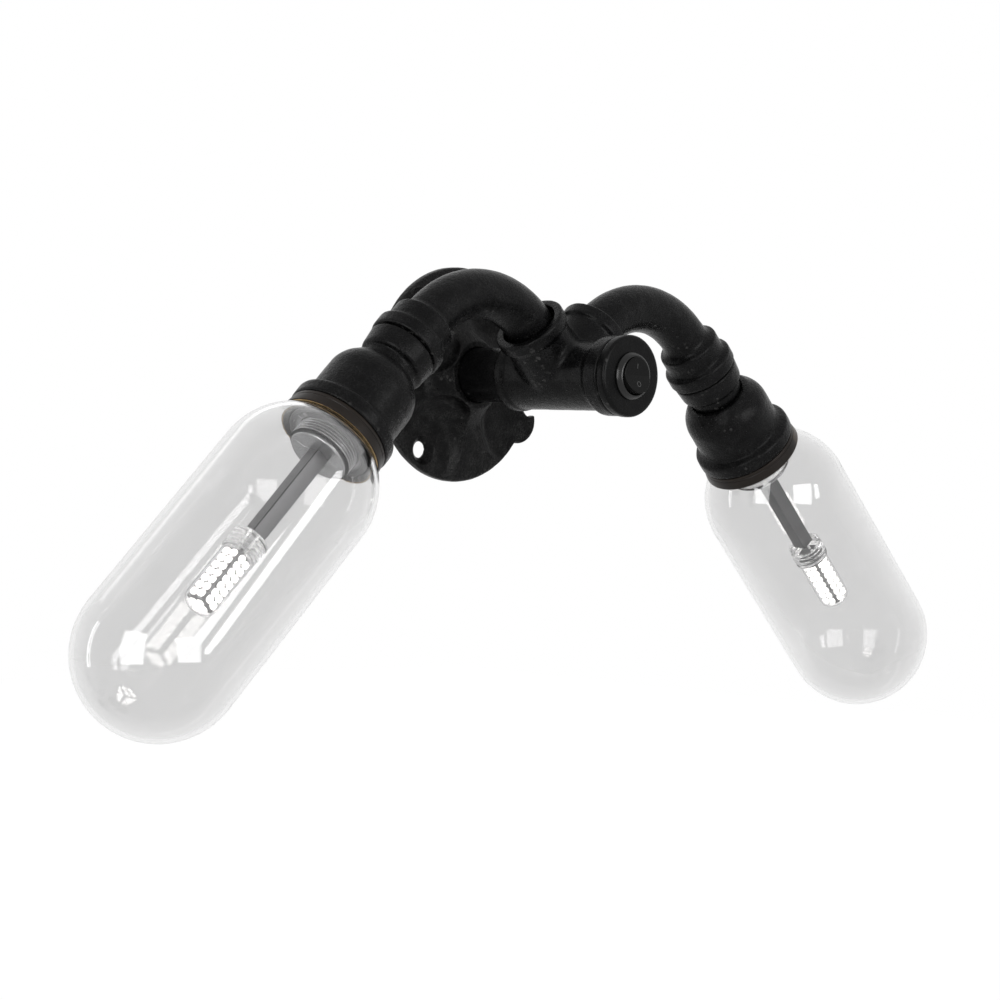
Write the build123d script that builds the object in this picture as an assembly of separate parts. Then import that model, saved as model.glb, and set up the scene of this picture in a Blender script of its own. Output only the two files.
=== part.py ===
"""Industrial pipe wall light: two glass capsule lamps on iron pipe fittings, with a rocker switch.

World frame in millimetres: the wall is the plane y = 0, the light stands out towards -Y, +Z is up
and the origin is the centre of the wall flange's back face.

Pieces that turn about the pipe that leaves the wall are drawn in the front frame: x right, y up,
z away from the wall.  Pieces of a lamp are drawn in that lamp's frame: the origin is the corner
where the branch axis meets the lamp axis, z runs down the lamp and y runs up the branch.
"""
from build123d import *
import os
from math import asin, cos, hypot, pi, radians, sin, sqrt, tan

# ---- Pipe and socket sizes that the fittings share (half-inch pipe) ----
pipe_r = 10.65                # outside of a pipe end that screws into a socket
pipe_bore_r = 8.0
thread_gap = 0.10             # radial gap between a pipe end and its socket
thread_depth = 12.0           # how far a pipe end screws in
socket_spare = 1.0            # a socket is this much deeper than the end in it
cast_round = 0.8              # rounding of a cast edge

# ---- Wall flange ----
flange_r = 42.5
flange_rim = 4.3              # thickness at the rim
rim_round = 1.7
slope_foot_r = 21.0           # where the flange's slope meets the foot of the hub
slope_foot_height = 7.4
hub_r = 13.2
hub_height = 14.8
hub_sweep_r = 9.0             # hollow curve from the slope up to the hub
screw_circle_r = 35.0
screw_count = 2
first_screw_deg = 30.5        # clockwise from straight up, seen from the front
screw_hole_r = 3.1
countersink_r = 5.85
scoop_count = 4               # hollows in the slope, with ridges between them
pad_height = 3.8              # flat at the foot of each hollow
pad_r = 22.0
pad_sweep_r = 9.0
lug_r = 9.2
lug_circle_r = 39.6
lug_deg = 115.5
notch_r = 4.2                 # open notch in the rim, beside the lug
notch_circle_r = 43.2
notch_deg = 104.7

# ---- Pipe from the flange to the tee ----
nipple_inset = 2.0            # its end stays this far in from the wall
tee_out = 59.0                # the branches lie this far from the wall

# ---- Side-outlet tee, measured from the point where its axes cross ----
tee_back = 23.0
tee_front = 32.0
tee_body_r = 13.3
tee_back_bead_r = 14.0
tee_back_bead = 4.2
tee_front_bead_r = 15.2
tee_front_bead = 9.1
bead_slope = 1.1              # length over which a bead rises from the body
tee_chamber_r = 10.4
tee_blend_r = 2.5             # fillet between the branches and the barrel
branch_deg = 45.0             # branches lean out from straight up
branch_reach = 26.5
branch_r = 12.8
branch_bead_r = 14.1
branch_bead = 4.8

# ---- Street elbow ----
branch_run = 63.0             # from the tee's centre to the corner of branch and lamp axes
bend_r = 39.3
elbow_r = 9.4
elbow_bore_r = 6.8
elbow_thread = 9.5            # length of its male thread
elbow_flare = 3.0             # length of the hollow curve up to its socket end
elbow_socket_r = 12.3
elbow_socket = 9.0            # plain part of the socket end
elbow_bead_r = 14.2
elbow_bead = 6.7

# ---- Collar nipple between the elbow and the reducing bell ----
ring_gap = 0.4                # visible joint line between two screwed fittings
collar_top_r = 13.6
collar_low_r = 12.8
collar = 8.6
neck_r = 10.95
neck = 4.0

# ---- Reducing bell ----
bell_top_r = 13.0
bell_shoulder = 6.0           # height of its rounded shoulder
bell_body_r = 17.7
bell_body = 12.6              # plain part below the shoulder
bell_band_r = 20.6
bell_band = 8.4
bell_round = 4.5
bell_cavity_r = 15.2
bell_mouth_r = 16.8
bell_mouth = 9.0

# ---- Shade ring, which holds the glass ----
shade_ring_top_r = 19.6
shade_ring_low_r = 19.2
shade_ring = 7.3
shade_ring_wall = 0.75
shade_ring_web = 1.8
spigot = 6.4
spigot_wall = 1.8

# ---- Glass shade ----
glass_r = 30.0
glass_wall = 1.6
glass_neck_wall = 1.3
glass_neck = 5.0
glass_straight = 81.7         # plain length between its two round ends
slip_gap = 0.3                # between pieces that come apart

# ---- Lampholder and its plate ----
holder_flange_r = 16.5
holder_flange = 2.0
holder_r = 12.5
holder_above = 3.3            # height of the holder above its flange
holder_below = 6.0            # threaded length that shows below its plate
holder_end_r = 11.4
holder_end = 2.0
plate = 1.2
plate_drop = 0.4              # the plate hangs this far below the shade ring

# ---- Lamp stem ----
stem_side = 6.1
stem_edge = 0.4
stem = 40.5
stem_deg = {"left": 6.0, "right": 6.0}      # turn of the square stem about the lamp axis

# ---- Plug-in bulb ----
bulb_deg = {"left": -12.5, "right": -4.0}   # turn of the square core about the lamp axis
pin_r = 0.5
pin_gap = 0.06
pin_spread = 3.2              # between the centres of the two pins
pin_in_stem = 7.0
pin_in_bulb = 5.0
bulb_collar_r = 6.2
bulb_collar = 8.4
bulb_rib_count = 4
bulb_rib_depth = 0.45
core_side = 7.4
core = 23.4
chip_rows = 6
chip_columns = 2
chip_width = 2.6
chip_height = 2.6
chip_thickness = 0.5
chip_column_pitch = 3.3
chip_row_pitch = 3.7
cover_r = 6.4
cover_wall = 0.4
cover_end = 1.6               # space between the core and the cover's end

# ---- Switch ----
switch_cap_r = 15.5
switch_cap = 4.2
cap_spigot_r = 11.8
cap_spigot = 6.5
cap_round = 1.2
bezel_r = 8.6
bezel = 1.5
bezel_chamfer = 0.7
switch_body_r = 7.9
switch_body = 14.0            # depth behind the face of the cap
switch_fit = 0.1
well_r = 7.2
well = 6.0                    # depth of the rocker's well, from the bezel's face
rocker_r = 6.85
rocker_half_throw = 8.0       # degrees each way from level
rocker_front = 2.0            # from the pivot to the valley of its face
rocker_back = 3.8
rocker_foot_r = 6.2
pivot_depth = 0.7             # the pivot lies this far behind the bezel's face
trunnion_r = 0.9
trunnion_gap = 0.05
trunnion_reach = 0.85         # how far a trunnion stands out of the rocker
blade_width = 3.2
blade_thickness = 0.8
blade = 6.6
blade_spread = 7.0

# ---- Leads and their splice caps ----
lead_r = 0.8
lead_pack_r = 1.1             # the three leads of a cap lie on this circle
lead_bend_share = 0.45        # share of the shorter run that a bend may use
lead_ease_r = 100.0           # gentle bend where a lead leaves the elbow for its terminal
splice_r = 2.7
splice_bore_r = 2.1
splice = 8.0
splice_floor = 0.8
splice_top = -1.6             # height of a splice cap's mouth above the tee's centre
splice_out = 3.2              # a splice cap's axis lies this far before or behind the tee's centre
lead_spread_in_holder = 4.5   # from the lamp axis to a lead in the holder
lead_gap = 0.1
lead_in_holder = 2.4
lead_end_gap = 1.0            # a lead ends this far above the floor of its splice cap
live_feed_out = 4.0           # each way from the pipe's axis to the live feed, at the wall
live_pass_side = 5.1          # the live feed passes the splice caps this far to the left
live_pass_down = 4.7          # and this far below
neutral_feed_side = 2.5
neutral_feed_up = 4.0

# ---- Places worked out from the sizes above ----
socket_r = pipe_r + thread_gap
tee_axis = (0, -tee_out, 0)
cap_front = tee_out + tee_front + ring_gap + switch_cap
elbow_mouth = bend_r + elbow_socket + elbow_bead
collar_start = elbow_mouth + ring_gap
neck_start = collar_start + collar
bell_top = neck_start + neck
bell_end = bell_top + bell_shoulder + bell_body + bell_band
mouth_start = bell_end - bell_mouth
ring_start = bell_end + ring_gap / 2
ring_end = ring_start + shade_ring
glass_neck_r = shade_ring_low_r - shade_ring_wall - slip_gap
glass_top = ring_start + shade_ring_web + ring_gap
glass_upper = glass_top + glass_neck + sqrt(glass_r ** 2 - glass_neck_r ** 2)
glass_lower = glass_upper + glass_straight
holder_flange_start = mouth_start + slip_gap
holder_top = holder_flange_start - holder_above
plate_start = ring_end + plate_drop
plate_r = glass_neck_r - glass_neck_wall - slip_gap
holder_end_start = plate_start + plate + holder_below
stem_start = holder_end_start + holder_end
stem_end = stem_start + stem
collar_bulb_start = stem_end + slip_gap
core_start = collar_bulb_start + bulb_collar
pivot_out = cap_front + bezel - pivot_depth
blade_end = cap_front - switch_body - blade
caps_start = tee_out - splice_out - splice_r
caps_end = tee_out + splice_out + splice_r

front = Plane(origin=(0, 0, 0), x_dir=(1, 0, 0), z_dir=(0, -1, 0))


# ---- Helpers ----
def turned(*corners):
    """A solid of revolution about z.  Each corner is (radius, height) or (radius, height, rounding)."""
    points = [corner[:2] for corner in corners]
    rounding = [corner[2] if len(corner) > 2 else 0 for corner in corners]
    outline = FilletPolyline(*points, radius=rounding, close=True)
    return revolve(make_face(Plane.XZ * outline), Axis.Z, 360)


def rod(radius, start, end):
    """A plain round bar along z."""
    return Pos(0, 0, start) * Cylinder(radius, end - start, align=(Align.CENTER, Align.CENTER, Align.MIN))


def on_circle(radius, degrees_from_up):
    """A place on the flange: degrees run clockwise from straight up."""
    angle = radians(degrees_from_up)
    return Pos(radius * sin(angle), radius * cos(angle), 0)


def lamp_frame(side):
    """The frame of one lamp.  Its x points to the front on the left lamp and to the wall on the right."""
    sign = -1 if side == "left" else 1
    lean = radians(branch_deg)
    corner = (sign * branch_run * sin(lean), -tee_out, branch_run * cos(lean))
    down_the_lamp = (sign * cos(lean), 0, -sin(lean))
    return Plane(origin=corner, x_dir=(0, sign, 0), z_dir=down_the_lamp)


def branch_frame(side):
    """Origin at the tee's centre, z out along the branch."""
    sign = -1 if side == "left" else 1
    lean = radians(branch_deg)
    return Plane(origin=tee_axis, x_dir=(0, -1, 0), z_dir=(sign * sin(lean), 0, cos(lean)))


def lead_bends(points, fixed):
    """A bend radius for each inner point: the largest that its runs allow, or the one that is fixed."""
    radii = []
    for index in range(1, len(points) - 1):
        before = Vector(*points[index]) - Vector(*points[index - 1])
        after = Vector(*points[index + 1]) - Vector(*points[index])
        half_turn = radians(before.get_angle(after) / 2)
        room = lead_bend_share * min(before.length, after.length) / tan(half_turn)
        radii.append(fixed.get(index, room))
    return radii


def lead(name, points, fixed=None):
    """A round lead through the points: straight runs joined by tangent arcs."""
    radii = lead_bends(points, fixed or {})
    route = FilletPolyline(*points, radius=radii)
    wire = sweep(Plane(origin=route @ 0, z_dir=route % 0) * Circle(lead_r), path=route)
    expected = pi * lead_r ** 2 * route.length
    print(f"{name}: length {route.length:.1f}, radii {[round(r, 1) for r in radii]}, "
          f"volume ratio {wire.volume / expected:.4f}")
    return wire


# ---- Wall flange, pipe and tee ----
def wall_flange():
    """Cast floor flange: sloped disc, hub, scooped hollows, two screw holes and a side lug beside a notch."""
    disc = turned(
        (0, 0), (flange_r, 0, cast_round), (flange_r, flange_rim, rim_round),
        (slope_foot_r, slope_foot_height, hub_sweep_r), (hub_r, hub_height, cast_round), (0, hub_height))
    lug = turned((0, 0), (lug_r, 0, cast_round), (lug_r, flange_rim, rim_round), (0, flange_rim))
    body = disc + on_circle(lug_circle_r, lug_deg) * lug
    scoop = turned(
        (0, pad_height), (pad_r, pad_height, pad_sweep_r), (pad_r, hub_height * 2), (0, hub_height * 2))
    sink = countersink_r - screw_hole_r
    hole = turned(
        (0, -1), (screw_hole_r, -1), (screw_hole_r, pad_height - sink),
        (countersink_r, pad_height), (countersink_r, hub_height), (0, hub_height))
    notch = on_circle(notch_circle_r, notch_deg) * rod(notch_r, -1, hub_height)
    body -= notch + rod(socket_r, -1, hub_height + 1)
    for index in range(scoop_count):
        body -= on_circle(screw_circle_r, first_screw_deg + index * 360 / scoop_count) * scoop
    for index in range(screw_count):
        body -= on_circle(screw_circle_r, first_screw_deg + index * 360 / screw_count) * hole
    return front * body


def back_nipple():
    """Pipe between the flange and the tee."""
    end = tee_out - tee_back + thread_depth
    return front * (rod(pipe_r, nipple_inset, end) - rod(pipe_bore_r, 0, end + 1))


def side_outlet_tee():
    """Barrel along the pipe from the wall, with two branches that lean up and out."""
    back_bead_end = tee_back_bead - tee_back
    front_bead_start = tee_front - tee_front_bead
    barrel = turned(
        (0, -tee_back), (tee_back_bead_r, -tee_back, cast_round),
        (tee_back_bead_r, back_bead_end, cast_round), (tee_body_r, back_bead_end + bead_slope),
        (tee_body_r, front_bead_start), (tee_front_bead_r, front_bead_start + bead_slope * 2, 3 * cast_round),
        (tee_front_bead_r, tee_front, cast_round), (0, tee_front))
    arm = turned(
        (0, 0), (branch_r, 0), (branch_r, branch_reach - branch_bead - bead_slope),
        (branch_bead_r, branch_reach - branch_bead, cast_round),
        (branch_bead_r, branch_reach, cast_round), (0, branch_reach))
    barrel = Plane(origin=tee_axis, x_dir=(1, 0, 0), z_dir=(0, -1, 0)) * barrel
    body = barrel + branch_frame("left") * arm + branch_frame("right") * arm
    seams = [edge for edge in body.edges()
             if edge.geom_type not in (GeomType.LINE, GeomType.CIRCLE)
             and hypot(edge.center().X, edge.center().Z) > tee_body_r * 0.5]
    body = fillet(seams, tee_blend_r)
    socket = thread_depth + socket_spare
    hollow = (rod(tee_chamber_r, -tee_back - 1, tee_front + 1) + rod(socket_r, -tee_back - 1, socket - tee_back)
              + rod(cap_spigot_r + thread_gap, tee_front - cap_spigot - socket_spare, tee_front + 1))
    branch_hollow = rod(pipe_bore_r, 0, branch_reach) + rod(socket_r, branch_reach - socket, branch_reach + 1)
    body -= Plane(origin=tee_axis, x_dir=(1, 0, 0), z_dir=(0, -1, 0)) * hollow
    return body - branch_frame("left") * branch_hollow - branch_frame("right") * branch_hollow


# ---- Switch ----
def switch_cap_plug():
    """Round plug that closes the front of the tee and holds the switch."""
    face = cap_front
    seat = cap_front - switch_cap
    plug = turned(
        (0, seat - ring_gap - cap_spigot), (cap_spigot_r, seat - ring_gap - cap_spigot, cast_round / 2),
        (cap_spigot_r, seat), (switch_cap_r, seat, cast_round / 2), (switch_cap_r, face, cap_round), (0, face))
    return front * (plug - rod(switch_body_r + switch_fit, 0, face + 1))


def switch_housing():
    """Round snap-in switch body with its bezel ring and the rocker's well."""
    face = cap_front + bezel
    back = cap_front - switch_body
    body = turned(
        (0, back), (switch_body_r, back, cast_round), (switch_body_r, cap_front),
        (bezel_r, cap_front), (bezel_r, face - bezel_chamfer), (bezel_r - bezel_chamfer, face), (0, face))
    body -= rod(well_r, face - well, face + 1)
    bearing = Rot(0, 90, 0) * Cylinder(trunnion_r + trunnion_gap, 2 * (rocker_r + trunnion_reach + trunnion_gap))
    return front * (body - Pos(0, 0, pivot_out) * bearing)


def switch_rocker():
    """Round rocker with a valley across its face, tilted to the ON side."""
    rim = rocker_front + 2 * rocker_r * tan(radians(rocker_half_throw))
    block = turned(
        (0, -rocker_back), (rocker_foot_r, -rocker_back, cast_round / 2), (rocker_r, -pivot_depth),
        (rocker_r, rim), (0, rim))
    for half in (-1, 1):
        wedge = Box(4 * rocker_r, 2 * rocker_r, rim, align=(Align.CENTER, Align.CENTER, Align.MIN))
        wedge = Pos(0, 0, rocker_front) * Rot(half * rocker_half_throw, 0, 0) * Pos(0, half * rocker_r, 0) * wedge
        block -= wedge
    block += Rot(0, 90, 0) * Cylinder(trunnion_r, 2 * (rocker_r + trunnion_reach))
    return front * (Pos(0, 0, pivot_out) * Rot(-rocker_half_throw, 0, 0) * block)


def switch_terminals():
    """Two blades on the back of the switch."""
    tip = cap_front - switch_body
    blades = [Pos(0, side * blade_spread / 2, tip - blade / 2) * Box(blade_width, blade_thickness, blade)
              for side in (-1, 1)]
    return front * Compound(children=blades)


# ---- Lamp pieces, in the lamp's own frame ----
def elbow():
    """Street elbow: male thread in the tee, wide bend, beaded socket end."""
    start = branch_reach - thread_depth - branch_run
    route = FilletPolyline((0, start, 0), (0, 0, 0), (0, 0, elbow_mouth), radius=bend_r)
    cross = Plane(origin=(0, start, 0), z_dir=(0, 1, 0))
    tube = sweep(cross * Circle(elbow_r), path=route)
    thread = cross * Cylinder(pipe_r, elbow_thread, align=(Align.CENTER, Align.CENTER, Align.MIN))
    socket_start = bend_r + elbow_flare / 2
    bead_start = elbow_mouth - elbow_bead
    end = turned(
        (0, bend_r - elbow_flare), (elbow_r, bend_r - elbow_flare), (elbow_r, socket_start - 1, elbow_flare),
        (elbow_socket_r, socket_start, cast_round), (elbow_socket_r, bead_start, cast_round / 2),
        (elbow_bead_r, bead_start + bead_slope, cast_round), (elbow_bead_r, elbow_mouth, cast_round),
        (0, elbow_mouth))
    bore = sweep(cross * Circle(elbow_bore_r), path=route)
    return tube + thread + end - bore - rod(socket_r, elbow_mouth - thread_depth - socket_spare, elbow_mouth + 1)


def collar_nipple():
    """Screwed collar with a male end above and below."""
    top = elbow_mouth - thread_depth
    low = bell_top + thread_depth
    body = turned(
        (pipe_bore_r, top), (pipe_r, top, cast_round / 2), (pipe_r, collar_start),
        (collar_top_r, collar_start, cast_round), (collar_low_r, neck_start, 2 * cast_round),
        (neck_r, neck_start), (neck_r, bell_top - ring_gap), (pipe_r, bell_top), (pipe_r, low, cast_round / 2),
        (pipe_bore_r, low))
    return body


def reducing_bell():
    """Round reducer: small socket above, wide beaded mouth below."""
    shoulder_end = bell_top + bell_shoulder
    band_start = bell_end - bell_band
    small_end = bell_top + thread_depth + socket_spare
    body = turned(
        (0, bell_top), (bell_top_r, bell_top, cast_round), (bell_body_r, shoulder_end, bell_round),
        (bell_body_r, band_start), (bell_band_r, band_start + bead_slope, cast_round),
        (bell_band_r, bell_end, cast_round), (0, bell_end))
    hollow = turned(
        (0, bell_top - 1), (socket_r, bell_top - 1), (socket_r, small_end), (bell_cavity_r, small_end + 1),
        (bell_cavity_r, mouth_start), (bell_mouth_r, mouth_start), (bell_mouth_r, bell_end + 1), (0, bell_end + 1))
    return body - hollow


def shade_ring_part():
    """Thin dark ring: its spigot screws into the bell and its skirt takes the neck of the glass."""
    inner = bell_mouth_r - thread_gap - spigot_wall
    skirt_inner = glass_neck_r + slip_gap
    return turned(
        (inner, ring_start - spigot), (bell_mouth_r - thread_gap, ring_start - spigot),
        (bell_mouth_r - thread_gap, ring_start), (shade_ring_top_r, ring_start, shade_ring_wall / 2),
        (shade_ring_low_r, ring_end, shade_ring_wall / 3), (skirt_inner, ring_end),
        (skirt_inner, ring_start + shade_ring_web), (inner, ring_start + shade_ring_web))


def capsule(radius, neck_r, top):
    """Solid capsule with a neck, from the neck's top to its round end."""
    reach = glass_upper - sqrt(radius ** 2 - neck_r ** 2)
    side = Line((radius, glass_upper), (radius, glass_lower))
    shoulder = ThreePointArc(
        (neck_r, reach), (radius * sin(shoulder_angle(radius, neck_r)),
                          glass_upper - radius * cos(shoulder_angle(radius, neck_r))), (radius, glass_upper))
    half = sqrt(0.5)
    end = ThreePointArc(
        (radius, glass_lower), (radius * half, glass_lower + radius * half), (0, glass_lower + radius))
    outline = Polyline((0, glass_lower + radius), (0, top), (neck_r, top), (neck_r, reach))
    return revolve(make_face(Plane.XZ * (outline + shoulder + side + end)), Axis.Z, 360)


def shoulder_angle(radius, neck_r):
    """Angle from the lamp axis of a point halfway along the round shoulder."""
    return (pi / 2 + asin(neck_r / radius)) / 2


def glass_shade():
    """Clear glass capsule with an open neck."""
    inner = capsule(glass_r - glass_wall, glass_neck_r - glass_neck_wall, glass_top - 1)
    return capsule(glass_r, glass_neck_r, glass_top) - inner


def holder_plate():
    """Round plate on the lampholder that closes the mouth of the glass."""
    end = plate_start + plate
    return turned(
        (holder_r + thread_gap, plate_start), (plate_r, plate_start, plate / 4), (plate_r, end, plate / 4),
        (holder_r + thread_gap, end))


def lampholder():
    """Holder that the shade ring clamps by its flange, with the leads let into its top."""
    flange_end = holder_flange_start + holder_flange
    end = holder_end_start + holder_end
    body = turned(
        (0, holder_top), (holder_r, holder_top, cast_round), (holder_r, holder_flange_start),
        (holder_flange_r, holder_flange_start), (holder_flange_r, flange_end), (holder_r, flange_end),
        (holder_r, holder_end_start), (holder_end_r, holder_end_start), (holder_end_r, end, cast_round / 2),
        (0, end))
    for place in (-lead_spread_in_holder, lead_spread_in_holder):
        body -= Pos(place, 0, 0) * rod(lead_r + lead_gap, holder_top - 1, holder_top + lead_in_holder + lead_gap)
    return body


def lamp_stem(side):
    """Square stem below the holder, with two pin sockets in its end."""
    bar = Rot(0, 0, stem_deg[side]) * Box(stem_side, stem_side, stem)
    bar = Pos(0, 0, stem_start + stem / 2) * fillet(bar.edges().filter_by(Axis.Z), stem_edge)
    for place in pin_places(side):
        bar -= place * rod(pin_r + pin_gap, stem_end - pin_in_stem - 1, stem_end + 1)
    return bar


# ---- Bulb ----
def pin_places(side):
    """The places of the two pins."""
    turn = Rot(0, 0, bulb_deg[side])
    return [turn * Pos(half * pin_spread / 2, 0, 0) for half in (-1, 1)]


def bulb_pins(side):
    """Two contact pins."""
    pins = [place * rod(pin_r, stem_end - pin_in_stem, collar_bulb_start + pin_in_bulb)
            for place in pin_places(side)]
    return Compound(children=pins)


def bulb_collar_part(side):
    """Clear base of the bulb with ribs round it."""
    pitch = bulb_collar / bulb_rib_count
    corners = [(0, collar_bulb_start)]
    for index in range(bulb_rib_count):
        start = collar_bulb_start + index * pitch
        corners.append((bulb_collar_r - bulb_rib_depth, start))
        corners.append((bulb_collar_r, start + pitch * 0.3, bulb_rib_depth / 2))
        corners.append((bulb_collar_r, start + pitch * 0.7, bulb_rib_depth / 2))
    corners.append((bulb_collar_r - bulb_rib_depth, core_start))
    corners.append((0, core_start))
    body = turned(*corners)
    for place in pin_places(side):
        body -= place * rod(pin_r + pin_gap, collar_bulb_start - 1, collar_bulb_start + pin_in_bulb + pin_gap)
    return body


def led_board(side):
    """Square core that carries the light chips."""
    return Rot(0, 0, bulb_deg[side]) * Pos(0, 0, core_start + core / 2) * Box(core_side, core_side, core)


def led_chips(side):
    """Rows of chips on the four faces of the core."""
    chip = Box(chip_thickness, chip_width, chip_height)
    first_row = core_start + (core - (chip_rows - 1) * chip_row_pitch) / 2
    chips = []
    for face in range(4):
        turn = Rot(0, 0, bulb_deg[side] + 90 * face)
        for column in range(chip_columns):
            across = (column - (chip_columns - 1) / 2) * chip_column_pitch
            for row in range(chip_rows):
                height = first_row + row * chip_row_pitch
                chips.append(turn * Pos((core_side + chip_thickness) / 2, across, height) * chip)
    return Compound(children=chips)


def bulb_cover():
    """Clear tube over the core, closed and rounded at its end."""
    end = core_start + core + cover_end
    outer = turned((0, core_start), (cover_r, core_start), (cover_r, end + cover_wall, cover_r * 0.6),
                   (0, end + cover_wall))
    bore_r = cover_r - cover_wall
    inner = turned((0, core_start - 1), (bore_r, core_start - 1), (bore_r, end, bore_r * 0.55), (0, end))
    return outer - inner


# ---- Leads ----
def cap_axis(kind):
    """How far a splice cap's axis lies before the tee's centre: the live cap in front, the neutral behind."""
    return splice_out if kind == "live" else -splice_out


def splice_cap(kind):
    """Closed crimp cap over the ends of three leads, mouth up."""
    cup = turned((0, -splice), (splice_r, -splice, cast_round), (splice_r, 0), (0, 0))
    cup -= rod(splice_bore_r, splice_floor - splice, 1)
    return Pos(0, -tee_out - cap_axis(kind), splice_top) * cup


def lamp_lead(side, kind):
    """Lead from a splice cap, up the branch, round the elbow and down to the lampholder."""
    sign = -1 if side == "left" else 1
    toward_front = 1 if kind == "live" else -1
    beside = lead_pack_r * cos(radians(30))
    before = toward_front * (splice_out - lead_pack_r * sin(radians(30)))
    frame = lamp_frame(side)
    x_sign = -sign * toward_front
    bottom = splice_top - splice + splice_floor + lead_end_gap
    spread = abs(before)
    low = [(x_sign * spread, 0, elbow_mouth - thread_depth + neck),
           (x_sign * lead_spread_in_holder, 0, bell_top + neck),
           (x_sign * lead_spread_in_holder, 0, holder_top + lead_in_holder)]
    corner = frame.from_local_coords(Vector(x_sign * spread, 0, 0))
    points = [(sign * beside, -tee_out - before, bottom), (sign * beside, -tee_out - before, beside),
              tuple(corner)] + [tuple(frame.from_local_coords(Vector(*point))) for point in low]
    return lead(f"{side}_{kind}_lead", points, {2: bend_r, 3: lead_ease_r, 4: lead_ease_r})


def feed_neutral_lead():
    """Lead from the wall to the neutral splice cap."""
    drop = -tee_out - cap_axis("neutral") + lead_pack_r
    bottom = splice_top - splice + splice_floor + lead_end_gap
    points = [
        (neutral_feed_side, -nipple_inset, 0.75 * neutral_feed_up),
        (0.8 * neutral_feed_side, -0.4 * caps_start, 0.9 * neutral_feed_up),
        (0, -0.8 * caps_start, neutral_feed_up), (0, drop, neutral_feed_up), (0, drop, bottom)]
    return lead("feed_neutral_lead", points)


def feed_live_lead():
    """Lead from the wall, past the splice caps, to the lower switch blade."""
    height = -blade_spread / 2
    points = [
        (-live_feed_out, -nipple_inset, -live_feed_out),
        (-(live_feed_out + live_pass_side) / 2, -caps_start / 2, -(live_feed_out + live_pass_down) / 2),
        (-live_pass_side, -caps_start + live_pass_side, -live_pass_down),
        (-live_pass_side, -caps_end + 3 * lead_r, -live_pass_down + lead_r / 2),
        (0, -caps_end - live_pass_down, height), (0, -blade_end, height)]
    return lead("feed_live_lead", points)


def switched_live_lead():
    """Lead from the upper switch blade to the live splice cap."""
    drop = -tee_out - cap_axis("live") - lead_pack_r
    level = blade_spread / 2
    bottom = splice_top - splice + splice_floor + lead_end_gap
    return lead("switched_live_lead", [(0, -blade_end, level), (0, drop, level), (0, drop, bottom)])


# ---- Write one file for each piece ----
def all_pieces():
    """Every piece by name, each in its place."""
    pieces = {
        "wall_flange": wall_flange(),
        "back_nipple": back_nipple(),
        "side_outlet_tee": side_outlet_tee(),
        "switch_cap": switch_cap_plug(),
        "switch_housing": switch_housing(),
        "switch_rocker": switch_rocker(),
        "switch_terminals": switch_terminals(),
        "feed_live_lead": feed_live_lead(),
        "feed_neutral_lead": feed_neutral_lead(),
        "switched_live_lead": switched_live_lead(),
        "live_splice_cap": splice_cap("live"),
        "neutral_splice_cap": splice_cap("neutral"),
    }
    for side in ("left", "right"):
        frame = lamp_frame(side)
        pieces[f"{side}_live_lead"] = lamp_lead(side, "live")
        pieces[f"{side}_neutral_lead"] = lamp_lead(side, "neutral")
        pieces[f"{side}_elbow"] = frame * elbow()
        pieces[f"{side}_collar_nipple"] = frame * collar_nipple()
        pieces[f"{side}_reducing_bell"] = frame * reducing_bell()
        pieces[f"{side}_shade_ring"] = frame * shade_ring_part()
        pieces[f"{side}_holder_plate"] = frame * holder_plate()
        pieces[f"{side}_lampholder"] = frame * lampholder()
        pieces[f"{side}_lamp_stem"] = frame * lamp_stem(side)
        pieces[f"{side}_glass_shade"] = frame * glass_shade()
        pieces[f"{side}_bulb_pins"] = frame * bulb_pins(side)
        pieces[f"{side}_bulb_collar"] = frame * bulb_collar_part(side)
        pieces[f"{side}_led_board"] = frame * led_board(side)
        pieces[f"{side}_led_chips"] = frame * led_chips(side)
        pieces[f"{side}_bulb_cover"] = frame * bulb_cover()
    return pieces


os.makedirs("parts", exist_ok=True)
for name, piece in all_pieces().items():
    export_step(piece, f"parts/{name}.step")
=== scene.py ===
"""Dresses the pipe wall light: cast fittings, clear glass capsules, lampholders, bulbs and switch.

The file is laid out as an add-on and run as a script.  Every size is in metres, in the frame of the
packed part: the wall is the plane y = 0, the light stands out towards -Y and +Z is up.  Pieces of a
lamp are drawn in that lamp's frame, where z runs down the lamp axis and y runs up the branch.
"""
import bpy
import bmesh
from math import asin, cos, pi, radians, sin, sqrt
from mathutils import Matrix, Vector


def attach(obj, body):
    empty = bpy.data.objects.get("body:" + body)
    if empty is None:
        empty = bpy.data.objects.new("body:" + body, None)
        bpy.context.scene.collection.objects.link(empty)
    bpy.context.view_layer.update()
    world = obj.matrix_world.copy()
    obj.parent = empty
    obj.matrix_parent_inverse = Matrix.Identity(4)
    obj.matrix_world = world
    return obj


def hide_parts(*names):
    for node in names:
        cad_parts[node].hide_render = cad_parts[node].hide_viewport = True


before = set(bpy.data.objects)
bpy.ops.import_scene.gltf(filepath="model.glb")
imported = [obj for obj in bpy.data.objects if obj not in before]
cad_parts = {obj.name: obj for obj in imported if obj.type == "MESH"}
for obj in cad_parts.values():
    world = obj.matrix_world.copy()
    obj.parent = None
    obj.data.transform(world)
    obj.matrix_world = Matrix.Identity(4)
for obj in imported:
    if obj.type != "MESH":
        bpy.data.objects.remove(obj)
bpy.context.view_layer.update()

bl_info = {
    "name": "Pipe Wall Light",
    "version": (1, 0, 0),
    "blender": (4, 5, 0),
    "location": "3D View > Sidebar > Pipe Light",
    "description": "Builds the visual pieces of a pipe wall light round its packed parts",
    "category": "Object",
}

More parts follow.
